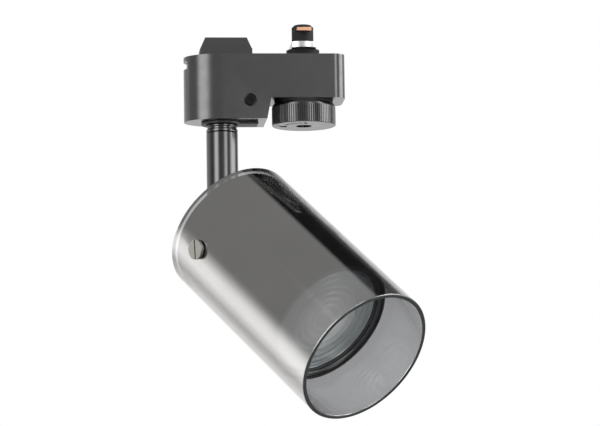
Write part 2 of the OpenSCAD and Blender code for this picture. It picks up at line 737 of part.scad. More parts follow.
module head_wires() color([0.55, 0.10, 0.08]) at_head()
    for (side = [-1, 1]) translate([0, side * wire_half, wire_start_u])
        cylinder(r = wire_r, h = holder_u + wire_in_holder - wire_start_u);

case_front();
case_back();
case_screw();
swivel_plate();
swivel_bush();
guide_foot();
earth_contact();
detent_ball();
detent_spring();
adapter_wires();
knob();
knob_screw();
lock_rotor();
lock_cam();
live_blade();
neutral_blade();
stem_collar();
swivel_washer();
swivel_nut();
stem();
knuckle();
stem_wires();
friction_washers();
hinge_bracket();
hinge_screws();
bracket_screws();
rear_cap();
lamp_housing();
glass_shade();
shade_screws();
shade_washers();
lamp_ring();
lamp_body();
lamp_lens();
led_module();
lamp_pins();
lamp_holder();
holder_screws();
head_wires();
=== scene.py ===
"""Looks for the track spotlight: materials, rounded and detailed pieces, studio light and camera.

Metres, in the frame of the CAD model. Places and sizes come from the CAD nodes and joints, so each
piece that is made here stands where its node stands. Profiles and details are written in
millimetres, times MM.
"""
import json
import math

import bmesh
import bpy
from mathutils import Matrix, Vector


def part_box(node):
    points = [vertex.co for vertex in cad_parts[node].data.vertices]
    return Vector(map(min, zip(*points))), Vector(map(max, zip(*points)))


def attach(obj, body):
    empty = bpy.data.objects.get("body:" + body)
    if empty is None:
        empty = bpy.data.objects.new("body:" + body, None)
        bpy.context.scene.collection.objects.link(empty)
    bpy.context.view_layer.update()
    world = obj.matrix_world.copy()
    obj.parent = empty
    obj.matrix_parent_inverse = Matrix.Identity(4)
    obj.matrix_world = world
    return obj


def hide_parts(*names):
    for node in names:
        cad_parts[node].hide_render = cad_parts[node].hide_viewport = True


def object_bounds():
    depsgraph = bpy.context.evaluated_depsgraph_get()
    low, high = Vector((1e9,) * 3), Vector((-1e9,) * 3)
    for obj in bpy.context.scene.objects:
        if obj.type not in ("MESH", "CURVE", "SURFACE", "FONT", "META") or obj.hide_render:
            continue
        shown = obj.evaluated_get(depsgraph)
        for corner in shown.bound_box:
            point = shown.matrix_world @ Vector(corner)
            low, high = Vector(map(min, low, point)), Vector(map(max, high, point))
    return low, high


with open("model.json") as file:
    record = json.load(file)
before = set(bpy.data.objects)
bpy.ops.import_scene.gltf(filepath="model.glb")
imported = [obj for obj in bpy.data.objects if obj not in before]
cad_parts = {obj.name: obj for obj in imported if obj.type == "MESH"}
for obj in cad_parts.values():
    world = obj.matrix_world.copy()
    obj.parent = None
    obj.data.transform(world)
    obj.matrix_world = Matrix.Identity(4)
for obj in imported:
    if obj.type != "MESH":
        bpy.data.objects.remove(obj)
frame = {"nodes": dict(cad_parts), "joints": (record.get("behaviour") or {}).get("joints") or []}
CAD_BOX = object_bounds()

MM = 0.001
JOINTS = {joint["name"]: joint for joint in frame["joints"]}
PIVOT = Vector(JOINTS["head_tilt"]["pos_m"])
TILT_AXIS = Vector(JOINTS["head_tilt"]["axis"]).normalized()


# ---------------------------------------------------------------- places

def head_place():
    """Frame of the head: origin on the tilt axis, Y along it and Z along the lamp's aim."""
    low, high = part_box("lamp_lens")
    aim = (low + high) / 2 - PIVOT
    aim = (aim - TILT_AXIS * aim.dot(TILT_AXIS)).normalized()
    side = TILT_AXIS.cross(aim)
    return Matrix.Translation(PIVOT) @ Matrix((side, TILT_AXIS, aim)).transposed().to_4x4()


def upright_place(joint):
    """Frame on a joint's vertical axis, at the height of the seat face."""
    at = JOINTS[joint]["pos_m"]
    return Matrix.Translation((at[0], at[1], 0))


HEAD = head_place()
KNOB = upright_place("knob_turn")
STEM = upright_place("stem_swivel")


def extent(node, place):
    """Radius, lowest and highest height of a CAD node about the Z axis of a place, in millimetres."""
    back = place.inverted()
    points = [back @ v.co for v in frame["nodes"][node].data.vertices]
    radius = max(math.hypot(p.x, p.y) for p in points)
    return radius / MM, min(p.z for p in points) / MM, max(p.z for p in points) / MM


# ---------------------------------------------------------------- mesh helpers

# Two faces that meet at more than SHARP have a hard edge. In a copied CAD shape, edges above
# ROUNDED are rounded, faces within FLAT of each other become one, and points within WELD join.
SHARP = math.radians(32)
ROUNDED = math.radians(35)
FLAT = math.radians(1)
WELD = 0.002 * MM


def sharpen(bm):
    """Smooth faces, with hard edges where two of them meet at more than the SHARP angle."""
    for face in bm.faces:
        face.smooth = True
    for edge in bm.edges:
        edge.smooth = edge.is_manifold and edge.calc_face_angle(0) < SHARP


def new_object(name, bm, place):
    """An object at the origin whose mesh is bm, moved into a place."""
    bmesh.ops.recalc_face_normals(bm, faces=bm.faces)
    sharpen(bm)
    mesh = bpy.data.meshes.new(name)
    bm.to_mesh(mesh)
    bm.free()
    mesh.transform(place)
    obj = bpy.data.objects.new(name, mesh)
    bpy.context.scene.collection.objects.link(obj)
    return obj


CORNER_STEPS = 5


def fillet(points):
    """Rounds the corners of a closed outline of (x, y, radius) points."""
    out = []
    count = len(points)
    for i, (x, y, radius) in enumerate(points):
        here = Vector((x, y))
        if radius <= 0:
            out.append(here)
            continue
        before = Vector(points[i - 1][:2]) - here
        after = Vector(points[(i + 1) % count][:2]) - here
        turn = before.angle(after)
        reach = min(radius / math.tan(turn / 2), 0.49 * before.length, 0.49 * after.length)
        radius = reach * math.tan(turn / 2)
        middle = here + (before.normalized() + after.normalized()).normalized() * (
            radius / math.sin(turn / 2))
        start = here + before.normalized() * reach - middle
        end = here + after.normalized() * reach - middle
        sweep = start.angle_signed(end)
        for k in range(CORNER_STEPS + 1):
            arm = start.copy()
            arm.rotate(Matrix.Rotation(-sweep * k / CORNER_STEPS, 2))
            out.append(middle + arm)
    return out


def lathe(name, outline, place, steps=160):
    """A turned solid. The outline is a closed list of (radius, height, fillet), in millimetres."""
    points = fillet(outline)
    bm = bmesh.new()
    uv = bm.loops.layers.uv.new("turned")
    rings, along = [], [0.0]
    for i, p in enumerate(points):
        if i:
            along.append(along[-1] + (p - points[i - 1]).length)
        if p.x < 1e-6:
            rings.append([bm.verts.new((0, 0, p.y * MM))])
        else:
            rings.append([bm.verts.new((p.x * MM * math.cos(2 * math.pi * k / steps),
                                        p.x * MM * math.sin(2 * math.pi * k / steps),
                                        p.y * MM)) for k in range(steps)])
    along.append(along[-1] + (points[0] - points[-1]).length)
    for i, low in enumerate(rings):
        high = rings[(i + 1) % len(rings)]
        if len(low) == 1 and len(high) == 1:
            continue
        for k in range(steps):
            n = (k + 1) % steps
            corners = [(low[k % len(low)], k, 0), (low[n % len(low)], k + 1, 0),
                       (high[n % len(high)], k + 1, 1), (high[k % len(high)], k, 1)]
            kept = []
            for corner in corners:
                if corner[0] not in [c[0] for c in kept]:
                    kept.append(corner)
            face = bm.faces.new([c[0] for c in kept])
            for loop, (_, turn, up) in zip(face.loops, kept):
                loop[uv].uv = (turn / steps, along[i + up])
    return new_object(name, bm, place)


def prism(name, outline, low, high, place):
    """A straight solid on a closed outline of (x, y), from height low to high, in millimetres."""
    bm = bmesh.new()
    bottom = [bm.verts.new((x * MM, y * MM, low * MM)) for x, y in outline]
    top = [bm.verts.new((x * MM, y * MM, high * MM)) for x, y in outline]
    bm.faces.new(bottom[::-1])
    bm.faces.new(top)
    count = len(outline)
    for i in range(count):
        n = (i + 1) % count
        bm.faces.new([bottom[i], bottom[n], top[n], top[i]])
    return new_object(name, bm, place)


def round_outline(radius, steps=64):
    """A circle of (x, y) points."""
    return [(radius * math.cos(2 * math.pi * k / steps),
             radius * math.sin(2 * math.pi * k / steps)) for k in range(steps)]


def box_outline(width, depth):
    """A rectangle of (x, y) points about the origin."""
    return [(-width / 2, -depth / 2), (width / 2, -depth / 2),
            (width / 2, depth / 2), (-width / 2, depth / 2)]


def settle(obj):
    """Applies an object's modifiers to its mesh."""
    shape = obj.evaluated_get(bpy.context.evaluated_depsgraph_get())
    mesh = bpy.data.meshes.new_from_object(shape)
    obj.modifiers.clear()
    obj.data = mesh


def carve(obj, tools):
    """Cuts the tools out of an object and removes them."""
    for tool in tools:
        step = obj.modifiers.new("carve", "BOOLEAN")
        step.object = tool
        step.operation = "DIFFERENCE"
        step.solver = "EXACT"
        settle(obj)
        bpy.data.objects.remove(tool)


def soften(obj, width):
    """Rounds an object's sharp edges by a width in millimetres."""
    bm = bmesh.new()
    bm.from_mesh(obj.data)
    bmesh.ops.remove_doubles(bm, verts=bm.verts, dist=WELD)
    bmesh.ops.dissolve_limit(bm, angle_limit=FLAT, verts=bm.verts, edges=bm.edges)
    bm.to_mesh(obj.data)
    bm.free()
    step = obj.modifiers.new("round", "BEVEL")
    step.width = width * MM
    step.segments = 2
    step.limit_method = "ANGLE"
    step.angle_limit = ROUNDED
    settle(obj)
    bm = bmesh.new()
    bm.from_mesh(obj.data)
    sharpen(bm)
    bm.to_mesh(obj.data)
    bm.free()


def from_cad(node, width):
    """A copy of a CAD node's shape with its edges rounded by a width in millimetres."""
    obj = bpy.data.objects.new(node + "_detailed", frame["nodes"][node].data.copy())
    bpy.context.scene.collection.objects.link(obj)
    soften(obj, width)
    return obj


def place_piece(obj, body, slot, material, *nodes):
    """Puts a finished piece on its body, in place of the CAD nodes that it stands for."""
    flat = obj.modifiers.new("even", "WEIGHTED_NORMAL")
    flat.keep_sharp = True
    obj.data.materials.clear()
    obj.data.materials.append(material)
    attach(obj, body)
    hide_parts(*nodes)


# ---------------------------------------------------------------- material helpers

# Nearly all of a noise texture's values lie in this range
NOISE_RANGE = (0.3, 0.7)
# Pointiness is a half on a flat face. From the first of these an edge gets a painted highlight, fully
# at the second.
PAINTED_HIGHLIGHT_EDGE = (0.52, 0.62)


class Shader:
    """A short way to write a node material."""

    def __init__(self, name):
        self.material = bpy.data.materials.new(name)
        self.material.use_nodes = True
        self.tree = self.material.node_tree
        self.tree.nodes.clear()
        self.output = self.tree.nodes.new("ShaderNodeOutputMaterial")

    def node(self, kind, settings=None, **inputs):
        """Adds a node, with settings and with inputs by name. An input may be another node's socket."""
        made = self.tree.nodes.new("ShaderNode" + kind)
        for key, value in (settings or {}).items():
            setattr(made, key, value)
        for key, value in inputs.items():
            socket = made.inputs[int(key[1:])] if key[0] == "i" and key[1:].isdigit() else (
                made.inputs[key.replace("_", " ")])
            self.feed(socket, value)
        return made

    def feed(self, socket, value):
        if isinstance(value, bpy.types.NodeSocket):
            self.tree.links.new(value, socket)
        elif isinstance(value, tuple) and len(value) == 3 and socket.type == "RGBA":
            socket.default_value = (*value, 1)
        else:
            socket.default_value = value

    def surface(self, socket):
        self.tree.links.new(socket, self.output.inputs["Surface"])
        return self.material

    def place(self, unit=MM):
        """Object coordinates, in millimetres or in another unit given in metres."""
        where = self.node("TexCoord").outputs["Object"]
        return self.node("Mapping", Vector=where, Scale=(1 / unit,) * 3).outputs["Vector"]

    def turned(self, stretch=(1, 1, 1)):
        """The lathe's own coordinates: once round, and millimetres along the outline."""
        where = self.node("TexCoord").outputs["UV"]
        return self.node("Mapping", Vector=where, Scale=stretch).outputs["Vector"]

    def noise(self, where, scale, detail, roughness=0.55):
        return self.node("TexNoise", Vector=where, Scale=scale, Detail=detail,
                         Roughness=roughness).outputs["Fac"]

    def spread(self, value, low, high, start=0.0, end=1.0):
        """Maps a 0 to 1 value onto low to high."""
        return self.node("MapRange", Value=value, From_Min=start, From_Max=end,
                         To_Min=low, To_Max=high).outputs["Result"]

    def uneven(self, value, level, low, high):
        """A level that a noise value moves between low and high times itself."""
        return self.spread(value, low * level, high * level, *NOISE_RANGE)

    def tint(self, value, dark, light):
        """A colour between dark and light."""
        return self.node("MixRGB", Fac=value, Color1=dark, Color2=light).outputs["Color"]

    def shades(self, value, shade, dark, light):
        """A shade that a noise value moves between dark and light times itself."""
        return self.tint(value, tuple(dark * c for c in shade), tuple(light * c for c in shade))

    def bump(self, height, strength, distance):
        """A normal from a height, with the distance in millimetres."""
        return self.node("Bump", Height=height, Strength=strength,
                         Distance=distance * MM).outputs["Normal"]

    def painted_edge_highlight(self):
        """Where the painted edge highlight goes: 0 on flats, up to 1 along raised edges."""
        point = self.node("NewGeometry").outputs["Pointiness"]
        return self.spread(point, 0.0, 1.0, *PAINTED_HIGHLIGHT_EDGE)


def satin_case(name, shade, mirror, rough, grain):
    """Fine-textured dark grey casing, with a painted highlight that makes its raised edges lighter."""
    s = Shader(name)
    where = s.place()
    cloud = s.noise(where, 0.12, 3)
    blotch = s.noise(where, 0.3, 4, 0.6)
    speck = s.noise(where, grain, 3, 0.7)
    colour = s.shades(cloud, shade, 0.88, 1.12)
    # Painted highlight: the colour is made lighter along raised edges
    painted_edge_highlight = s.tint(s.painted_edge_highlight(), (0, 0, 0), (0.05, 0.05, 0.052))
    colour = s.node("MixRGB", {"blend_type": "ADD"}, Fac=1.0, Color1=colour, Color2=painted_edge_highlight)
    body = s.node("BsdfPrincipled", Base_Color=colour.outputs["Color"],
                  Roughness=s.uneven(speck, rough, 0.85, 1.2),
                  Specular_IOR_Level=s.spread(blotch, 0.92 * mirror, 1.08 * mirror, 0.35, 0.65),
                  Normal=s.bump(speck, 0.35, 0.02))
    return s.surface(body.outputs["BSDF"])


def turned_metal(name, shade, rough, lines=9.0):
    """Metal with fine rings left by the tool, on a lathe piece."""
    s = Shader(name)
    ring = s.noise(s.turned((0.4, lines, 1)), 1.0, 5, 0.7)
    cloud = s.noise(s.place(), 0.25, 3)
    body = s.node("BsdfPrincipled", Base_Color=s.shades(ring, shade, 0.9, 1.1), Metallic=1.0,
                  Roughness=s.uneven(cloud, rough, 0.8, 1.25),
                  Normal=s.bump(ring, 0.25, 0.01))
    return s.surface(body.outputs["BSDF"])


def plain_metal(name, shade, rough, metallic=1.0):
    """Plated or blacked metal with a fine uneven finish."""
    s = Shader(name)
    where = s.place()
    fine = s.noise(where, 4.0, 4, 0.6)
    cloud = s.noise(where, 0.5, 3)
    body = s.node("BsdfPrincipled", Base_Color=s.shades(cloud, shade, 0.85, 1.1), Metallic=metallic,
                  Roughness=s.uneven(fine, rough, 0.75, 1.3),
                  Normal=s.bump(fine, 0.15, 0.02))
    return s.surface(body.outputs["BSDF"])


def moulded(name, shade, rough=0.45, grain=6.0, sheen=0.5, depth=0.02):
    """Moulded plastic, rubber, enamel or ceramic. The depth of its grain is in millimetres."""
    s = Shader(name)
    where = s.place()
    fine = s.noise(where, grain, 3, 0.6)
    cloud = s.noise(where, 0.3, 3)
    body = s.node("BsdfPrincipled", Base_Color=s.shades(cloud, shade, 0.88, 1.1),
                  Roughness=s.uneven(fine, rough, 0.85, 1.15),
                  Specular_IOR_Level=sheen, Normal=s.bump(fine, 0.25, depth))
    return s.surface(body.outputs["BSDF"])


# The higher it is, the nearer to the outline a glass wall starts to mirror more
GRAZING_POWER = 4.5


def glass_face(name, mirror, see_through, film=(1, 1, 1), rough=0.02,
               milky=0.0, haze_tints_painted_lit_middle=None, tints_meet=(8, 17)):
    """One face of a glass wall.

    It mirrors a share of the light, more at grazing angles, and lets the rest through. On a lathe
    piece a milky share is scattered, in one tint at the middle and another further out. They meet
    between two distances from the middle, in millimetres. On the lens the light middle tint is
    painted light, standing in for the lit cup behind it.
    """
    s = Shader(name)
    where = s.place()
    smear = s.noise(where, 0.05, 4, 0.6)
    dust = s.noise(where, 1.6, 5, 0.75)
    facing = s.node("LayerWeight", Blend=0.5).outputs["Facing"]
    grazing = s.node("Math", {"operation": "POWER"}, i0=facing, i1=GRAZING_POWER).outputs["Value"]
    share = s.node("Math", {"operation": "MULTIPLY"}, i0=s.spread(grazing, mirror, 1.0),
                   i1=s.uneven(smear, 1.0, 0.97, 1.03)).outputs["Value"]
    gloss = s.node("BsdfGlossy", Color=film, Roughness=s.spread(dust, rough, rough + 0.06, 0.35, 0.8))
    clear = s.node("BsdfTransparent", Color=see_through).outputs["BSDF"]
    if milky:
        from_middle = s.node("SeparateXYZ", Vector=s.turned()).outputs["Y"]
        # On the lens the lighter middle tint is painted light
        cloud = s.tint(s.spread(from_middle, 0.0, 1.0, *tints_meet), *haze_tints_painted_lit_middle)
        haze = s.node("BsdfDiffuse", Color=cloud)
        cloudy = s.node("MixShader", Fac=milky)
        s.feed(cloudy.inputs[1], clear)
        s.feed(cloudy.inputs[2], haze.outputs["BSDF"])
        clear = cloudy.outputs["Shader"]
    mixed = s.node("MixShader", Fac=share)
    s.feed(mixed.inputs[1], clear)
    s.feed(mixed.inputs[2], gloss.outputs["BSDF"])
    return s.surface(mixed.outputs["Shader"])


# ---------------------------------------------------------------- camera and studio

CAMERA_FROM_PIVOT = Vector((-0.0786, -1.3201, -0.1715))
CAMERA_TURN = math.radians(4.81)
CAMERA_LIFT = math.radians(7.50)
CAMERA_ROLL = math.radians(0.83)
CAMERA_LENS = 190.4


def make_camera():
    """The photograph's camera, solved from the two end ellipses of the glass tube."""
    data = bpy.data.cameras.new("camera")
    data.sensor_width = 36
    data.lens = CAMERA_LENS
    data.clip_start = 0.05
    camera = bpy.data.objects.new("camera", data)
    turn = (Matrix.Rotation(-CAMERA_TURN, 4, "Z")
            @ Matrix.Rotation(math.pi / 2 + CAMERA_LIFT, 4, "X")
            @ Matrix.Rotation(-CAMERA_ROLL, 4, "Z"))
    camera.matrix_world = Matrix.Translation(PIVOT + CAMERA_FROM_PIVOT) @ turn
    bpy.context.scene.collection.objects.link(camera)
    bpy.context.scene.camera = camera


def direction(azimuth, elevation):
    """A unit vector. Azimuth 0 is towards the viewer, 90 to the viewer's right."""
    a, e = math.radians(azimuth), math.radians(elevation)
    return (math.sin(a) * math.cos(e), -math.cos(a) * math.cos(e), math.sin(e))


ROOM = 0.42
# Soft strips and cards round the object, seen in reflections and as light: azimuth and half width,
# elevation and half height, softness of the border, all in degrees, and strength over the room's
CARDS = [
    (-117, 3, -8, 4, 22, 1.65),
    (-47, 5, 12, 24, 18, 4.4),
    (4, 4, 10, 12, 7, 0.15),
    (23, 3, 12, 24, 14, 3.6),
    (82, 8, 12, 24, 26, 4.8),
]
# The white wall behind the object: half width, elevation and half height, softness and strength
WALL = (42, -2, 16, 14, 0.5)
# Azimuth, elevation, half width, softness and strength of the dark opening above and behind
OPENING = (143, 50, 17, 8, 0.97)


class NodeMaths:
    """Arithmetic on node sockets and numbers."""

    def __init__(self, tree):
        self.tree = tree

    def node(self, kind, **settings):
        made = self.tree.nodes.new("ShaderNode" + kind)
        for key, value in settings.items():
            setattr(made, key, value)
        return made

    def feed(self, socket, value):
        if isinstance(value, bpy.types.NodeSocket):
            self.tree.links.new(value, socket)
        else:
            socket.default_value = value

    def op(self, operation, a, b=0.0):
        made = self.node("Math", operation=operation)
        self.feed(made.inputs[0], a)
        self.feed(made.inputs[1], b)
        return made.outputs["Value"]

    def ramp(self, value, start, end, top=1.0):
        """0 at start rising smoothly to top at end."""
        made = self.node("MapRange", interpolation_type="SMOOTHSTEP")
        self.feed(made.inputs["Value"], value)
        made.inputs["From Min"].default_value = start
        made.inputs["From Max"].default_value = end
        made.inputs["To Max"].default_value = top
        return made.outputs["Result"]

    def patch(self, where, azimuth, elevation, half, soft, top):
        """A round patch of sky."""
        dot = self.node("VectorMath", operation="DOT_PRODUCT")
        self.feed(dot.inputs[0], where)
        dot.inputs[1].default_value = direction(azimuth, elevation)
        return self.ramp(dot.outputs["Value"], math.cos(math.radians(half + soft)),
                         math.cos(math.radians(half)), top)


def make_world():
    """A grey room with soft bright cards, seen only in reflections and as light; plain white behind."""
    world = bpy.data.worlds.new("studio")
    world.use_nodes = True
    world.node_tree.nodes.clear()
    m = NodeMaths(world.node_tree)
    where = m.node("TexCoord").outputs["Generated"]
    parts = m.node("SeparateXYZ")
    m.feed(parts.inputs["Vector"], where)
    x, y, z = (parts.outputs[axis] for axis in "XYZ")
    turn = 180 / math.pi
    azimuth = m.op("MULTIPLY", m.op("ARCTAN2", x, m.op("MULTIPLY", y, -1.0)), turn)
    elevation = m.op("MULTIPLY", m.op("ARCSINE", z), turn)

    def strip(turned, centre_az, half_az, centre_el, half_el, soft, top):
        across = m.op("ABSOLUTE", m.op("SUBTRACT", turned, centre_az))
        up = m.op("ABSOLUTE", m.op("SUBTRACT", elevation, centre_el))
        return m.op("MULTIPLY", m.ramp(across, half_az + soft, half_az),
                    m.ramp(up, half_el + soft, half_el, top))

    level = m.op("MULTIPLY", ROOM, m.op("SUBTRACT", 1.0, m.patch(where, *OPENING)))
    for card in CARDS:
        level = m.op("ADD", level, strip(azimuth, *card))
    # The wall straddles azimuth 180, so it is measured from there
    behind = m.op("SUBTRACT", 180.0, m.op("ABSOLUTE", azimuth))
    level = m.op("ADD", level, strip(behind, 0, *WALL))
    seen = m.node("Mix", data_type="FLOAT")
    m.feed(seen.inputs[0], m.node("LightPath").outputs["Is Camera Ray"])
    m.feed(seen.inputs[2], level)
    m.feed(seen.inputs[3], 1.0)
    back = m.node("Background")
    back.inputs["Color"].default_value = (1, 1, 1, 1)
    m.feed(back.inputs["Strength"], seen.outputs[0])
    m.feed(m.node("OutputWorld").inputs["Surface"], back.outputs["Background"])
    bpy.context.scene.world = world


# How far the floor is below the lowest piece, in metres: the camera is above it
FLOOR_DROP = 0.16


def make_floor():
    """A plain pale floor below the lamp and the camera. It shows from above only."""
    bm = bmesh.new()
    bmesh.ops.create_grid(bm, x_segments=1, y_segments=1, size=4)
    floor = new_object("floor", bm, Matrix.Translation((0, 0, CAD_BOX[0].z - FLOOR_DROP)))
    s = Shader("pale_floor")
    tone = s.noise(s.place(1.0), 3.0, 3)
    body = s.node("BsdfPrincipled", Base_Color=s.tint(tone, (0.88, 0.88, 0.88), (0.91, 0.91, 0.91)),
                  Roughness=0.6)
    below = s.node("MixShader", Fac=s.node("NewGeometry").outputs["Backfacing"])
    s.feed(below.inputs[1], body.outputs["BSDF"])
    s.feed(below.inputs[2], s.node("BsdfTransparent").outputs["BSDF"])
    floor.data.materials.append(s.surface(below.outputs["Shader"]))
    floor.visible_glossy = False


def area_light(name, azimuth, elevation, distance, size, power):
    """A soft square light aimed at the middle of the object."""
    data = bpy.data.lights.new(name, "AREA")
    data.energy = power
    data.size = size
    light = bpy.data.objects.new(name, data)
    target = (CAD_BOX[0] + CAD_BOX[1]) / 2
    arm = Vector(direction(azimuth, elevation))
    light.location = target + arm * distance
    light.rotation_mode = "QUATERNION"
    light.rotation_quaternion = arm.to_track_quat("Z", "Y")
    light.visible_glossy = False
    bpy.context.scene.collection.objects.link(light)


def make_studio():
    """Camera, room, floor and one soft light from above."""
    make_camera()
    make_world()
    make_floor()
    area_light("top", azimuth=-30, elevation=72, distance=1.5, size=1.2, power=20)
    bpy.context.scene.view_settings.view_transform = "Standard"


# ---------------------------------------------------------------- materials

CASE = satin_case("case_satin", (0.010, 0.010, 0.0103), 0.84, 0.15, 5.5)
KNOB_SKIN = satin_case("knob_satin", (0.004, 0.004, 0.0042), 0.95, 0.19, 4.4)
MARK_PAINT = moulded("mark_paint", (0.006, 0.006, 0.006), 0.9, 6.0, 0.02)
BLACK_PLASTIC = moulded("black_plastic", (0.012, 0.012, 0.013))
DULL_PLASTIC = moulded("dull_plastic", (0.010, 0.010, 0.010), 0.7, 6.0, 0.25)
GUNMETAL = turned_metal("black_nickel", (0.088, 0.088, 0.09), 0.16)
GUNMETAL_CAST = plain_metal("black_nickel_cast", (0.085, 0.085, 0.087), 0.2)
BLACK_METAL = moulded("black_powder_coat", (0.012, 0.012, 0.013), 0.62, 7.0, 0.3)
NICKEL = plain_metal("nickel", (0.40, 0.385, 0.355), 0.36)
BRIGHT_STEEL = plain_metal("zinc_plate", (0.60, 0.60, 0.62), 0.32)
BLACK_OXIDE = plain_metal("black_oxide", (0.022, 0.022, 0.023), 0.2)
SCREW_BLACK = plain_metal("screw_black", (0.028, 0.028, 0.0285), 0.1)
BRASS = plain_metal("brass", (0.70, 0.52, 0.24), 0.3)
COPPER = plain_metal("contact_copper", (0.75, 0.42, 0.27), 0.28)
WIRE = moulded("silicone_wire", (0.30, 0.03, 0.025), 0.5)
RUBBER = moulded("black_rubber", (0.010, 0.010, 0.010), 0.7, 6.0, 0.3)
CERAMIC = moulded("ceramic", (0.80, 0.78, 0.74), 0.35)
LAMP_SHELL = moulded("lamp_shell", (0.035, 0.035, 0.037), 0.4)
PHOSPHOR = moulded("phosphor", (0.80, 0.62, 0.12), 0.6)
SHADE_OUTSIDE = glass_face("smoked_glass_film", 0.33, (0.66, 0.66, 0.67), (1.0, 0.985, 0.965))
SHADE_INSIDE = glass_face("smoked_glass_inside", 0.03, (0.66, 0.665, 0.675))
GLASS_EDGE = plain_metal("glass_edge", (0.014, 0.016, 0.016), 0.1, 0.0)
# The lens's haze is light at the middle and darker further out: the light middle is painted light
LENS = glass_face("lens_glass", 0.11, (0.60, 0.62, 0.615), (0.96, 0.98, 1), 0.1, 0.42,
                  ((0.86, 0.86, 0.84), (0.34, 0.37, 0.375)))
MIRROR_CUP = turned_metal("mirror_cup", (0.55, 0.56, 0.57), 0.42, 3.0)
ENAMEL = moulded("black_enamel", (0.008, 0.008, 0.009), 0.16, 2.2, 1.0, 0.35)


# ---------------------------------------------------------------- pieces

# Sizes of the pieces are in millimetres, as are the points of a lathe's outline.
CLEARANCE = 0.05
# A face this little off a height is still taken to be at it
SAME_HEIGHT = 0.01

SHADE_GAP = 0.3
SHADE_EDGE = 0.45
SHADE_HOLE = 2.55
HOUSING_WALL = 1.2
HOUSING_HOLE = 2.0
# The rims' faces are those with more than this share of their normal along the aim
RIM_FACE = 0.65
# A screw's end face is made of the points within this of the furthest one
SCREW_END = 0.05 * MM


def far_point(node, middle):
    """The middle of a node's face that is furthest from its middle point."""
    points = [v.co for v in frame["nodes"][node].data.vertices]
    reach = max((p - middle).length for p in points)
    face = [p for p in points if (p - middle).length > reach - SCREW_END]
    side = face[0] - middle
    face = [p for p in face if (p - middle).dot(side) > 0]
    return sum(face, Vector()) / len(face)


def across_rods(name, radius, reach):
    """A rod along the line of the two shade screws, to cut their holes, in millimetres."""
    low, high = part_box("shade_screws")
    middle = (low + high) / 2
    line = far_point("shade_screws", middle) - middle
    turn = line.to_track_quat("Z", "Y").to_matrix().to_4x4()
    return prism(name, round_outline(radius), -reach, reach, Matrix.Translation(middle) @ turn)


def make_shade():
    """The glass tube, with its two faces and its rims, and the housing tube inside it."""
    radius, low, high = extent("glass_shade", HEAD)
    outer, back, front = extent("lamp_housing", HEAD)
    inner = outer + SHADE_GAP
    shade = lathe("glass_tube", [(inner, low, SHADE_EDGE), (radius, low, SHADE_EDGE),
                                 (radius, high, SHADE_EDGE), (inner, high, SHADE_EDGE)], HEAD, 256)
    carve(shade, [across_rods("shade_hole", SHADE_HOLE, 2 * radius)])
    place_piece(shade, "head", "smoked_glass", SHADE_OUTSIDE, "glass_shade")
    shade.data.materials.append(SHADE_INSIDE)
    shade.data.materials.append(GLASS_EDGE)
    aim = HEAD.to_3x3() @ Vector((0, 0, 1))
    for face in shade.data.polygons:
        if abs(face.normal.dot(aim)) > RIM_FACE:
            face.material_index = 2
        elif face.normal.dot(face.center - PIVOT) < 0:
            face.material_index = 1

    bore = outer - HOUSING_WALL
    tube = lathe("housing_tube", [(bore, back, 0.2), (outer, back, 0.2),
                                  (outer, front, 0.25), (bore, front, 0.25)], HEAD, 192)
    carve(tube, [across_rods("housing_hole", HOUSING_HOLE, 2 * radius)])
    place_piece(tube, "head", "black_metal", BLACK_METAL, "lamp_housing")


# The lens has a raised middle, then rings, then a raised rim. Depths are below its front.
LENS_MIDDLE = 2.4
LENS_MIDDLE_DEEP = 0.35
LENS_RIM = 1.6
RINGS = 6
RING_START = 4.5
RING_HEIGHT = 0.4
RING_DEEP = 0.85
# The lamp's shell, with the depths of the lens's seat and of the floor of the cup behind it
LENS_SEAT = 2.4
CUP_RADIUS = 6.0
CUP_DEEP = 17.4


def make_lens():
    """The lamp's ringed lens."""
    radius, low, high = extent("lamp_lens", HEAD)
    rim = radius - LENS_RIM
    middle = high - LENS_MIDDLE_DEEP
    floor = high - RING_DEEP
    pitch = (rim - RING_START) / RINGS
    front = [(0, middle, 0), (LENS_MIDDLE, middle, 1.5), (RING_START - 0.4, floor, 0.6)]
    for i in range(RINGS):
        at = RING_START + pitch * i
        front += [(at, floor, 0.3), (at + 0.5 * pitch, floor + RING_HEIGHT, 1.2),
                  (at + 0.93 * pitch, floor, 0.1)]
    front += [(rim, floor, 0.1), (rim + 0.1, high - 0.4, 0.1), (rim + 0.6, high - 0.4, 0.1),
              (rim + 0.8, high - 0.75, 0.2), (radius - 0.3, high - 0.6, 0.1), (radius, high - 0.3, 0.1)]
    lens = lathe("ringed_lens", front + [(radius, low, 0.1), (0, low, 0)], HEAD, 128)
    place_piece(lens, "head", "lens", LENS, "lamp_lens")


def make_lamp_body():
    """The lamp's shell, with a bright cup behind the lens."""
    radius, low, high = extent("lamp_body", HEAD)
    seat = extent("lamp_lens", HEAD)[0] + CLEARANCE
    cup_top, cup_floor = high - LENS_SEAT, high - CUP_DEEP
    body = lathe("lamp_shell", [
        (0, low, 0), (11.8, low, 0.4), (13, low + 2, 0.6), (14.5, low + 14, 3), (22.5, low + 34, 3),
        (radius, low + 39, 2), (radius, high, 0.35), (seat, high, 0.3), (seat, cup_top, 0),
        (CUP_RADIUS, cup_floor, 0), (0, cup_floor, 0)], HEAD, 128)
    place_piece(body, "head", "lamp_shell", LAMP_SHELL, "lamp_body")
    body.data.materials.append(MIRROR_CUP)
    back = HEAD.inverted()
    for face in body.data.polygons:
        here = back @ face.center / MM
        in_cup = cup_floor - SAME_HEIGHT < here.z < cup_top + SAME_HEIGHT
        if in_cup and math.hypot(here.x, here.y) < seat:
            normal = back.to_3x3() @ face.normal
            if normal.z > 0:
                face.material_index = 1


STEM_WALL = 1.67
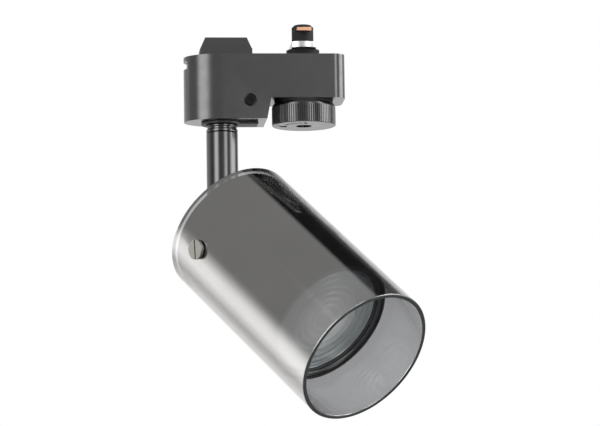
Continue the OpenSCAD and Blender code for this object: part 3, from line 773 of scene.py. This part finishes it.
# The collar's spigot goes down into the stem, and its thread up into the case
SPIGOT_LONG = 7
SPIGOT_RADIUS = 4.95
THREAD_RADIUS = 4.0
COLLAR_BORE = 2.6
GROOVE_SINK = 0.5


def make_stem():
    """The hollow rod, and the collar with its groove and its hollow thread."""
    radius, low, high = extent("stem", STEM)
    bore = radius - STEM_WALL
    rod = lathe("stem_rod", [(bore, low, 0), (radius, low, 0.3), (radius, high, 0.5),
                             (bore, high, 0)], STEM)
    place_piece(rod, "stem", "gunmetal", GUNMETAL, "stem")

    foot = high + CLEARANCE
    top = extent("swivel_plate", STEM)[1] - CLEARANCE
    deep, past = foot - SPIGOT_LONG, extent("stem_collar", STEM)[2]
    groove = radius - GROOVE_SINK
    collar = lathe("stem_collar_turned", [
        (COLLAR_BORE, deep, 0), (SPIGOT_RADIUS, deep, 0.2), (SPIGOT_RADIUS, foot, 0),
        (radius, foot, 0.2), (radius, top - 1.95, 0.25), (groove, top - 1.8, 0.15),
        (groove, top - 1.0, 0.15), (radius, top - 0.85, 0.25), (radius, top, 0.25),
        (THREAD_RADIUS, top, 0), (THREAD_RADIUS, past, 0.3), (COLLAR_BORE, past, 0)], STEM)
    place_piece(collar, "stem", "gunmetal", GUNMETAL, "stem_collar")


RIBS = 90
# One rib and the groove after it, as shares of the groove's depth at evenly spaced points
RIB_SHAPE = (0.0, 0.0, 0.0, 0.0, 1.0)
RIB_CUT = 0.28
KNOB_HOLE = 3.3
KNOB_HOLE_CHAMFER = 0.12
KNOB_SCREW_BORE = 1.55
# How much of the knob is left above the hole, for the screw to hold
KNOB_FLOOR = 3
MARK_DEPTH = 0.08


def knob_ring(radius, z, cut):
    """Points of a ring of the knob's side, with narrow grooves cut between the ribs."""
    count = RIBS * len(RIB_SHAPE)
    ring = []
    for k in range(count):
        r = (radius - cut * RIB_SHAPE[k % len(RIB_SHAPE)]) * MM
        angle = 2 * math.pi * k / count
        ring.append((r * math.cos(angle), r * math.sin(angle), z * MM))
    return ring


def make_knob():
    """The knob: ribbed side, domed top edge, access hole for its screw, and marks underneath."""
    radius, low, high = extent("knob", KNOB)
    tall = high - low
    # Radius less than the full one, height, depth of the grooves
    levels = [(0.4, 0, 0), (0.2, 0.06, 0), (0.06, 0.2, 0), (0.02, 0.4, RIB_CUT),
              (0.02, tall - 1.75, RIB_CUT), (0.04, tall - 1.6, 0.3 * RIB_CUT), (0.12, tall - 1.3, 0),
              (0.3, tall - 0.85, 0), (0.55, tall - 0.4, 0), (0.8, tall - 0.12, 0), (1.1, tall, 0)]
    bm = bmesh.new()
    rings = [[bm.verts.new(p) for p in knob_ring(radius - less, low + z, groove)]
             for less, z, groove in levels]
    for below, above in zip(rings, rings[1:]):
        for k in range(len(below)):
            n = (k + 1) % len(below)
            bm.faces.new([below[k], below[n], above[n], above[k]])
    bm.faces.new(rings[0])
    bm.faces.new(rings[-1])
    knob = new_object("fluted_knob", bm, KNOB)
    seat = high - KNOB_FLOOR
    mouth = KNOB_HOLE + KNOB_HOLE_CHAMFER
    drill = lathe("knob_drill", [
        (0, low - 1, 0), (mouth, low - 1, 0), (mouth, low, 0), (KNOB_HOLE, low + KNOB_HOLE_CHAMFER, 0),
        (KNOB_HOLE, seat, 0), (KNOB_SCREW_BORE, seat, 0), (KNOB_SCREW_BORE, high + 1, 0),
        (0, high + 1, 0)], KNOB, 64)
    carve(knob, [drill] + knob_marks(low))
    place_piece(knob, "turn_lock", "knob", KNOB_SKIN, "knob")
    knob.data.materials.append(MARK_PAINT)
    for face in knob.data.polygons:
        sunk = face.center.z / MM - low
        if abs(sunk - MARK_DEPTH) < SAME_HEIGHT and face.normal.z < -0.9:
            face.material_index = 1


def arc_outline(inner, outer, start, end, steps=24):
    """A piece of a ring between two angles in degrees, as (x, y) points."""
    turns = [math.radians(start + (end - start) * k / steps) for k in range(steps + 1)]
    return ([(outer * math.cos(a), outer * math.sin(a)) for a in turns]
            + [(inner * math.cos(a), inner * math.sin(a)) for a in reversed(turns)])


# The marks stand on a circle of this radius. The arrow's line runs from one angle to another, in
# degrees, and its head starts a little further on.
MARK_RING = 8.6
ARROW_LINE = (200, 250)
ARROW_HEAD = math.radians(252)


def knob_marks(low):
    """Cutters for the marks sunk in the knob's underside: padlock, turning arrow and pointer."""
    bottom, top = low - 1, low + MARK_DEPTH

    def mark(name, outline):
        return prism(name, outline, bottom, top, KNOB)

    body = [(x - MARK_RING, y + 1.2) for x, y in box_outline(3.0, 2.4)]
    shackle = [(x - MARK_RING, y + 0.1) for x, y in arc_outline(0.65, 1.15, 180, 360)]
    line = arc_outline(MARK_RING - 0.45, MARK_RING + 0.45, *ARROW_LINE)
    along = Vector((-math.sin(ARROW_HEAD), math.cos(ARROW_HEAD)))
    out = Vector((math.cos(ARROW_HEAD), math.sin(ARROW_HEAD)))
    tip = out * MARK_RING + along * 1.6
    head = [tuple(tip), tuple(out * (MARK_RING + 1.1)), tuple(out * (MARK_RING - 1.1))]
    pointer = [(0, -MARK_RING - 2.2), (1.0, -MARK_RING + 1.4), (-1.0, -MARK_RING + 1.4)]
    return [mark("lock_body", body), mark("lock_shackle", shackle), mark("arrow_line", line),
            mark("arrow_head", head), mark("pointer", pointer)]


REFINED = {
    # node: (body, record slot, material, edge rounding in millimetres)
    "case_front": ("adapter", "case", CASE, 0.35),
    "case_back": ("adapter", "case", CASE, 0.35),
    "case_screw": ("adapter", "black_screws", SCREW_BLACK, 0.2),
    "swivel_plate": ("adapter", "black_plastic", BLACK_PLASTIC, 0.25),
    "swivel_bush": ("adapter", "brass", BRASS, 0.1),
    "guide_foot": ("adapter", "black_plastic", BLACK_PLASTIC, 0.3),
    "earth_contact": ("adapter", "copper", COPPER, 0.1),
    "lock_rotor": ("turn_lock", "black_plastic", DULL_PLASTIC, 0.2),
    "lock_cam": ("turn_lock", "bright_steel", BRIGHT_STEEL, 0.2),
    "live_blade": ("turn_lock", "copper", COPPER, 0.12),
    "neutral_blade": ("turn_lock", "copper", COPPER, 0.12),
    "knob_screw": ("turn_lock", "bright_steel", BRIGHT_STEEL, 0.12),
    "knuckle": ("stem", "gunmetal", GUNMETAL_CAST, 0.25),
    "swivel_washer": ("stem", "bright_steel", BRIGHT_STEEL, 0.08),
    "swivel_nut": ("stem", "bright_steel", BRIGHT_STEEL, 0.15),
    "hinge_bracket": ("head", "gunmetal", GUNMETAL_CAST, 0.25),
    "hinge_screws": ("head", "black_screws", BLACK_OXIDE, 0.15),
    "bracket_screws": ("head", "black_screws", BLACK_OXIDE, 0.12),
    "friction_washers": ("head", "bright_steel", BRIGHT_STEEL, 0.06),
    "rear_cap": ("head", "black_metal", BLACK_METAL, 0.2),
    "shade_screws": ("head", "nickel", NICKEL, 0.12),
    "shade_washers": ("head", "black_rubber", RUBBER, 0.15),
    "lamp_ring": ("head", "black_metal", ENAMEL, 0.1),
    "lamp_holder": ("head", "ceramic", CERAMIC, 0.3),
    "lamp_pins": ("head", "nickel", NICKEL, 0.2),
    "holder_screws": ("head", "bright_steel", BRIGHT_STEEL, 0.12),
}
KEPT = {
    # node: material. These small inner nodes keep their CAD shape.
    "detent_ball": BRIGHT_STEEL,
    "detent_spring": BRIGHT_STEEL,
    "adapter_wires": WIRE,
    "stem_wires": WIRE,
    "head_wires": WIRE,
    "led_module": PHOSPHOR,
}


def make_refined():
    """All the other nodes, with rounded edges or as they are."""
    for node, (body, slot, material, width) in REFINED.items():
        place_piece(from_cad(node, width), body, slot, material, node)
    for node, material in KEPT.items():
        kept = frame["nodes"][node]
        kept.data.materials.clear()
        kept.data.materials.append(material)


make_studio()
make_shade()
make_lens()
make_lamp_body()
make_stem()
make_knob()
make_refined()
